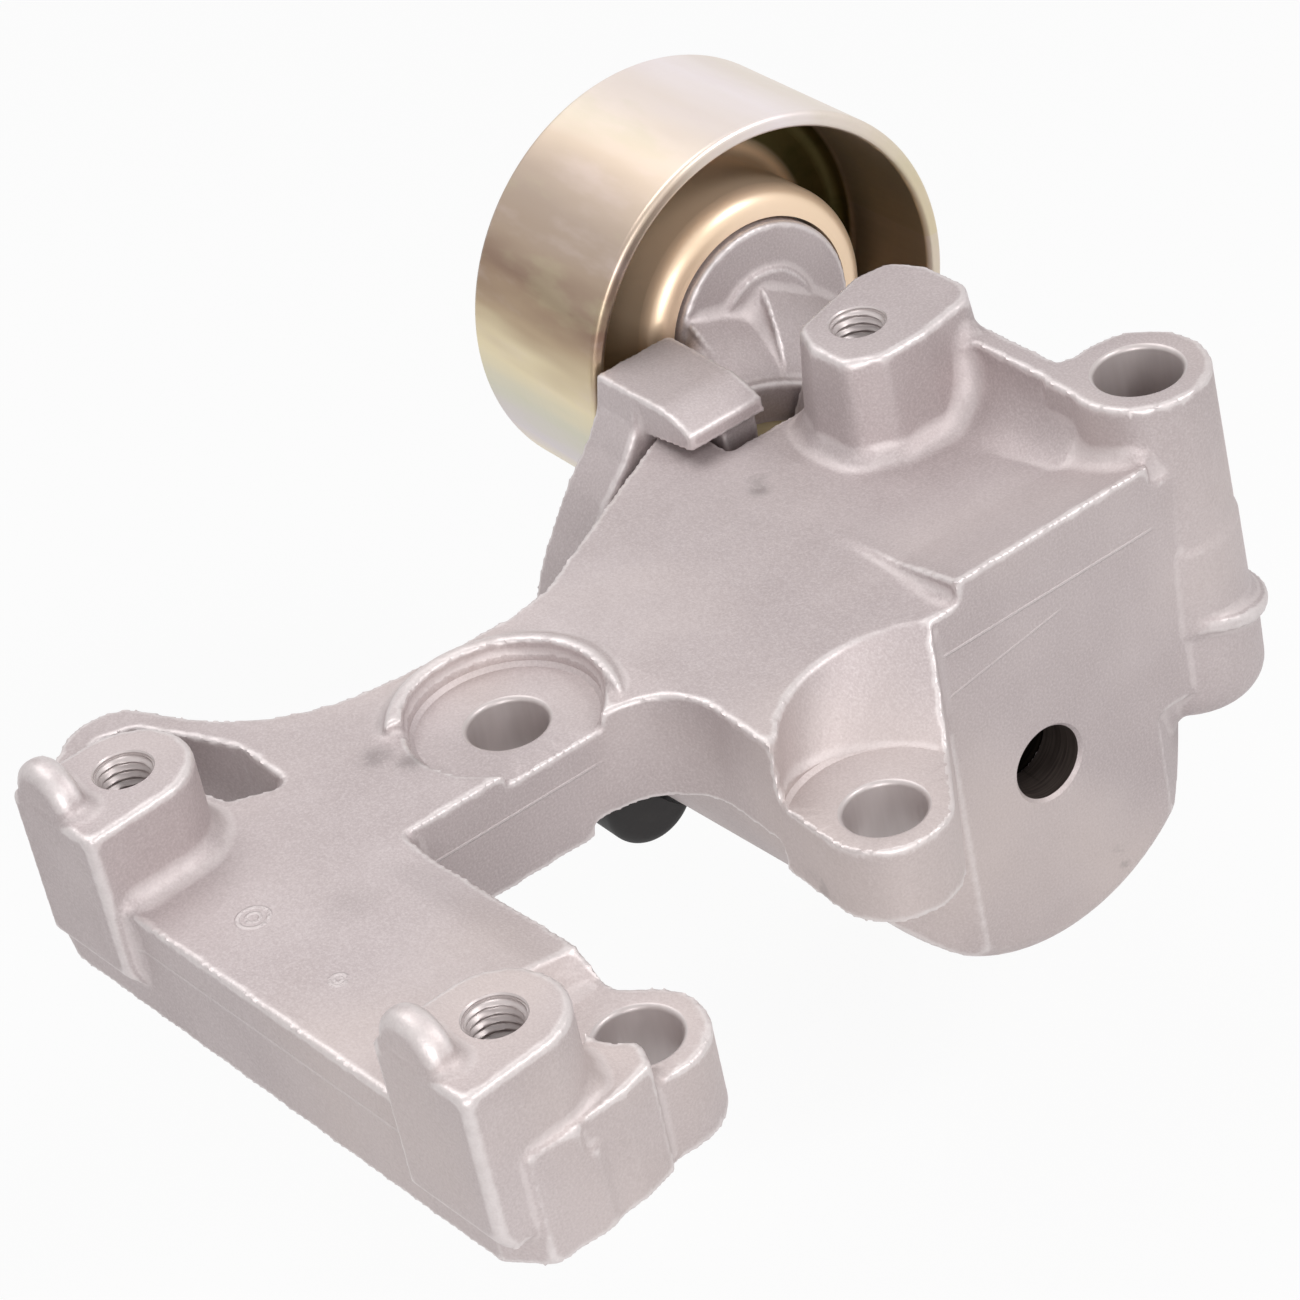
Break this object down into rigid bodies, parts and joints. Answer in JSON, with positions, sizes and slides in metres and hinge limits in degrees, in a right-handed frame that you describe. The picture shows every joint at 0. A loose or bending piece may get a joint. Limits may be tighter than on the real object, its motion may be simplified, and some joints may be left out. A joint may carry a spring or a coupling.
{
  "type": "belt tensioner",
  "caption": "Cast bracket with a spring drum and bolt bosses, and a swinging arm that carries a smooth belt pulley on a sealed ball bearing.",
  "frame": {"origin": "middle of the pivot bore on the flange face of the spring drum", "axes": "+X out of the flange face along the pivot axis and away from the pulley; +Z square out of the bracket's plate, the way its tapped holes open; +Y in the plate's plane, away from the leg"},
  "size_m": [0.1509, 0.1757, 0.0963],
  "materials": {
    "cast_aluminium": "blasted casting, matte silver with a warm grey cast",
    "steel": "turned steel, satin",
    "spring_steel": "oiled dark spring steel",
    "bearing_steel": "ground and bright",
    "yellow_plated_steel": "pale yellow zinc plating with a slight colour play",
    "black_rubber": "matte black",
    "black_plastic": "matte black",
    "friction_plastic": "natural glass-filled plastic"
  },
  "bodies": {
    "bracket_body": {"bracket": "cast_aluminium", "pivot_shaft": "steel", "torsion_spring": "spring_steel", "spring_seat": "black_plastic", "dust_seal": "black_rubber", "thrust_washer_front": "friction_plastic"},
    "arm_body": {"tensioner_arm": "cast_aluminium", "shaft_bush_front": "friction_plastic", "shaft_bush_rear": "friction_plastic", "damping_ring": "friction_plastic", "thrust_washer_rear": "friction_plastic", "stop_buffer": "black_rubber", "bearing_inner_ring": "bearing_steel", "pulley_bolt": "steel", "dust_shield": "steel"},
    "pulley_body": {"pulley_shell": "yellow_plated_steel", "bearing_outer_ring": "bearing_steel", "bearing_seal_front": "black_rubber", "bearing_seal_rear": "black_rubber", "bearing_snap_ring": "steel"},
    "cage_body": {"bearing_cage": "black_plastic", "bearing_balls": "bearing_steel"}
  },
  "joints": [
    {"name": "arm_pivot", "type": "hinge", "parent": "bracket_body", "child": "arm_body", "pos_m": [0, 0, 0], "axis": [-1, 0, 0], "range_deg": [0, 25], "stiffness_Nm_per_rad": 15, "springref_deg": -45.84},
    {"name": "pulley_spin", "type": "hinge", "parent": "arm_body", "child": "pulley_body", "pos_m": [-0.0915, 0.0195, 0.0311], "axis": [1, 0, 0], "continuous": true},
    {"name": "cage_spin", "type": "hinge", "parent": "arm_body", "child": "cage_body", "pos_m": [-0.0915, 0.0195, 0.0311], "axis": [1, 0, 0], "continuous": true}
  ],
  "couplings": [
    {"joint": "cage_spin", "follows": "pulley_spin", "ratio": 0.6183}
  ]
}
